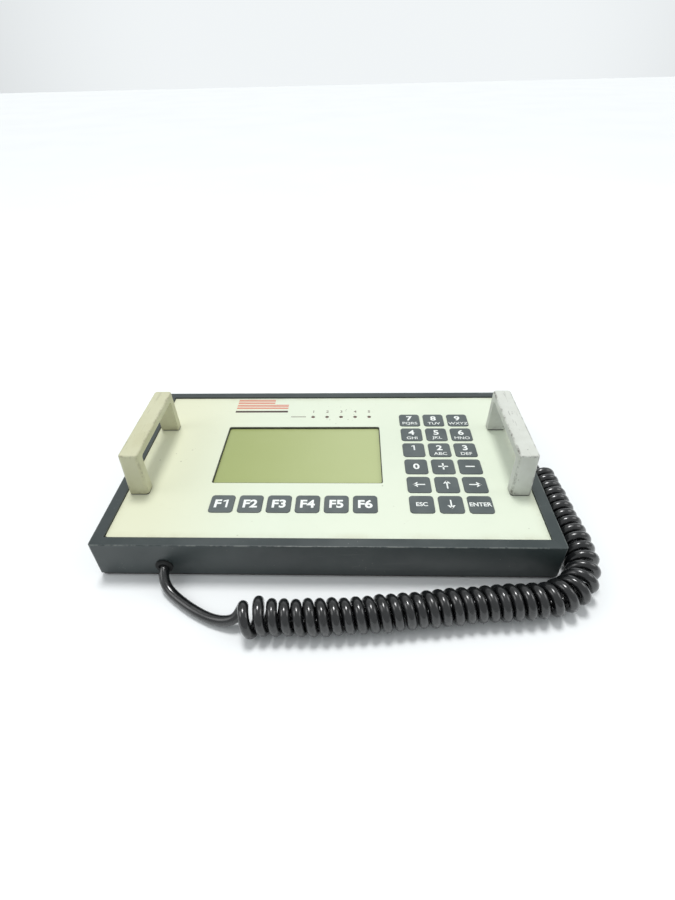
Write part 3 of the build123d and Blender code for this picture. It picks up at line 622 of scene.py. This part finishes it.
def arrow(direction):
    """An arrow with an open head, as three bars, pointing along a direction in degrees."""
    shaft = bar(-0.1, 0, 7.6, 0.95)
    head = [[(4.1, 0), (3.2, 0.75), (0.9, 2.5), (0.9, 1.2), (2.3, 0.2), (2.3, -0.2),
             (0.9, -1.2), (0.9, -2.5), (3.2, -0.75)]]
    turn = math.radians(direction)
    c, s = math.cos(turn), math.sin(turn)
    return [[(x * c - y * s, x * s + y * c) for x, y in shape] for shape in [shaft] + head]


def flagged_one():
    """The figure 1 with a flag and no foot, as two slabs."""
    return [bar(0.45, 0, 0.95, 5.5), [(-1.5, 1.15), (0.1, 1.75), (0.1, 2.75), (-1.5, 2.0)]]


def text_mesh(words, size, weight, stretch=1.0, spacing=1.0):
    """The words as thin slabs centred on the origin: vertices in metres, and faces."""
    data = bpy.data.curves.new("text", "FONT")
    data.body = words
    data.size = size * MM
    data.offset = weight * MM
    data.extrude = INK / 2
    data.space_character = spacing
    data.align_x = "CENTER"
    data.resolution_u = 6
    obj = bpy.data.objects.new("text", data)
    scene.collection.objects.link(obj)
    mesh = bpy.data.meshes.new_from_object(obj)
    vertices = np.array([v.co for v in mesh.vertices])
    faces = [tuple(p.vertices) for p in mesh.polygons]
    middle = (vertices.min(axis=0) + vertices.max(axis=0)) / 2
    vertices = (vertices - middle) * (stretch, 1, 1) + (0, 0, INK / 2)
    bpy.data.objects.remove(obj)
    bpy.data.curves.remove(data)
    bpy.data.meshes.remove(mesh)
    return [tuple(v) for v in vertices], faces


def joined(parts):
    """Several (vertices, faces, x, y) parts as one, each moved to its x and y in millimetres."""
    vertices, faces = [], []
    for part, part_faces, x, y in parts:
        start = len(vertices)
        vertices += [(v[0] + x * MM, v[1] + y * MM, v[2]) for v in part]
        faces += [tuple(start + k for k in face) for face in part_faces]
    return vertices, faces


key_ink = printed("key_ink", srgb(232, 236, 233), srgb(150, 156, 154))
LEGENDS = {
    "key_7": ("7", "PQRS"), "key_8": ("8", "TUV"), "key_9": ("9", "WXYZ"),
    "key_4": ("4", "GHI"), "key_5": ("5", "JKL"), "key_6": ("6", "MNO"),
    "key_1": ("1", ""), "key_2": ("2", "ABC"), "key_3": ("3", "DEF"), "key_0": ("0", ""),
}
for name in nodes:
    if not name.startswith("key_"):
        continue
    low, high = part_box(name)
    x, y = (low[0] + high[0]) / 2 / MM, (low[1] + high[1]) / 2 / MM
    if name in LEGENDS:
        digit, letters = LEGENDS[name]
        shape = (outline_mesh(flagged_one(), INK) if digit == "1"
                 else text_mesh(digit, 7.6, 0.22, 1.12))
        parts = [(*shape, 0, 2.3 if name != "key_0" else 0)]
        if letters:
            parts.append((*text_mesh(letters, 4.3, 0.03, 1.12), 0, -4.3))
        vertices, faces = joined(parts)
    elif name == "key_f1":
        figure = [[(1.32 * x, 1.24 * y) for x, y in shape] for shape in flagged_one()]
        vertices, faces = joined([(*text_mesh("F", 9.4, 0.3, 1.05), -2.5, 0),
                                  (*outline_mesh(figure, INK), 2.6, 0)])
    elif name[4] == "f" and name[5:].isdigit():
        vertices, faces = text_mesh(name[4:].upper(), 9.4, 0.3, 1.05)
    elif name in ("key_esc", "key_enter"):
        vertices, faces = text_mesh(name[4:].upper(), 4.6, 0.1, 1.0)
    elif name == "key_plus":
        vertices, faces = outline_mesh([bar(0, 0, 6.6, 1.1), bar(0, 0, 1.1, 6.6)], INK)
    elif name == "key_minus":
        vertices, faces = outline_mesh([bar(0, 0, 6.2, 1.1)], INK)
    else:
        turn = {"key_right": 0, "key_up": 90, "key_left": 180, "key_down": 270}[name]
        vertices, faces = outline_mesh(arrow(turn), INK)
    vertices, faces = joined([(vertices, faces, x, y)])
    vertices = [(v[0], v[1], v[2] + high[2] - 0.01 * MM) for v in vertices]
    legend = add_mesh("legend_" + name[4:], vertices, faces, key_ink)
    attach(legend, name)


def panel_printing():
    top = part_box("front_panel")[1][2]
    dark = printed("panel_ink_dark", srgb(74, 58, 56), srgb(150, 140, 120))
    red = printed("panel_ink_red", srgb(206, 84, 66), srgb(214, 170, 150))
    grey = printed("panel_ink_grey", srgb(120, 108, 100), srgb(180, 172, 150))
    rows = [bar(-62, 73.2, 30, 1.1), bar(-62, 70.9, 30, 1.1), bar(-62, 68.6, 30, 1.1),
            bar(-56.3, 65.9, 41.4, 1.1), bar(-56.3, 63.6, 41.4, 1.1), bar(-56.3, 61.3, 41.4, 1.1)]
    pieces = [("panel_stripes", outline_mesh(rows, INK), red),
              ("panel_bar", outline_mesh([bar(-56.3, 56.7, 41.7, 2.4)], INK), dark)]
    numerals = [(*text_mesh(str(i + 1), 4.4, 0.06), -14.9 + 10.9 * i, 56.6) for i in range(5)]
    numerals.append((*outline_mesh([bar(0, 0, 11.6, 0.9)], INK), -26.4, 49.4))
    pieces.append(("panel_numerals", joined(numerals), grey))
    for name, (vertices, faces), ink in pieces:
        vertices = [(v[0], v[1], v[2] + top - 0.01 * MM) for v in vertices]
        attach(add_mesh(name, vertices, faces, ink), "case")


panel_printing()


def shaded_window_lining():
    """A thin lining against the wall of the screen's opening, dark as painted shade on that cream
    wall.
    """
    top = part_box("front_panel")[1][2] - 0.25 * MM
    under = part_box("lcd_window")[1][2]
    outer, inner, corner = (56.88, 31.68), (56.3, 31.1), 1.4
    per_corner = 6
    count = 4 * per_corner
    vertices = []
    for (half_x, half_y), height in ((outer, under), (outer, top), (inner, top), (inner, under)):
        for k in range(count):
            quarter, step = divmod(k, per_corner)
            angle = math.pi / 2 * (quarter + step / (per_corner - 1))
            sign_x = 1 if quarter in (0, 3) else -1
            sign_y = 1 if quarter in (0, 1) else -1
            x = SCREEN_X + sign_x * (half_x - corner) + corner * math.cos(angle)
            y = SCREEN_Y + sign_y * (half_y - corner) + corner * math.sin(angle)
            vertices.append((x * MM, y * MM, height))
    faces = []
    for ring in range(4):
        start, after = count * ring, count * ((ring + 1) % 4)
        faces += [(start + k, start + (k + 1) % count, after + (k + 1) % count, after + k)
                  for k in range(count)]
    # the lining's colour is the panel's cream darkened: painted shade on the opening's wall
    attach(add_mesh("shaded_window_lining", vertices, faces,
                     rubber("shaded_window_lining", srgb(64, 66, 58))), "case")


shaded_window_lining()
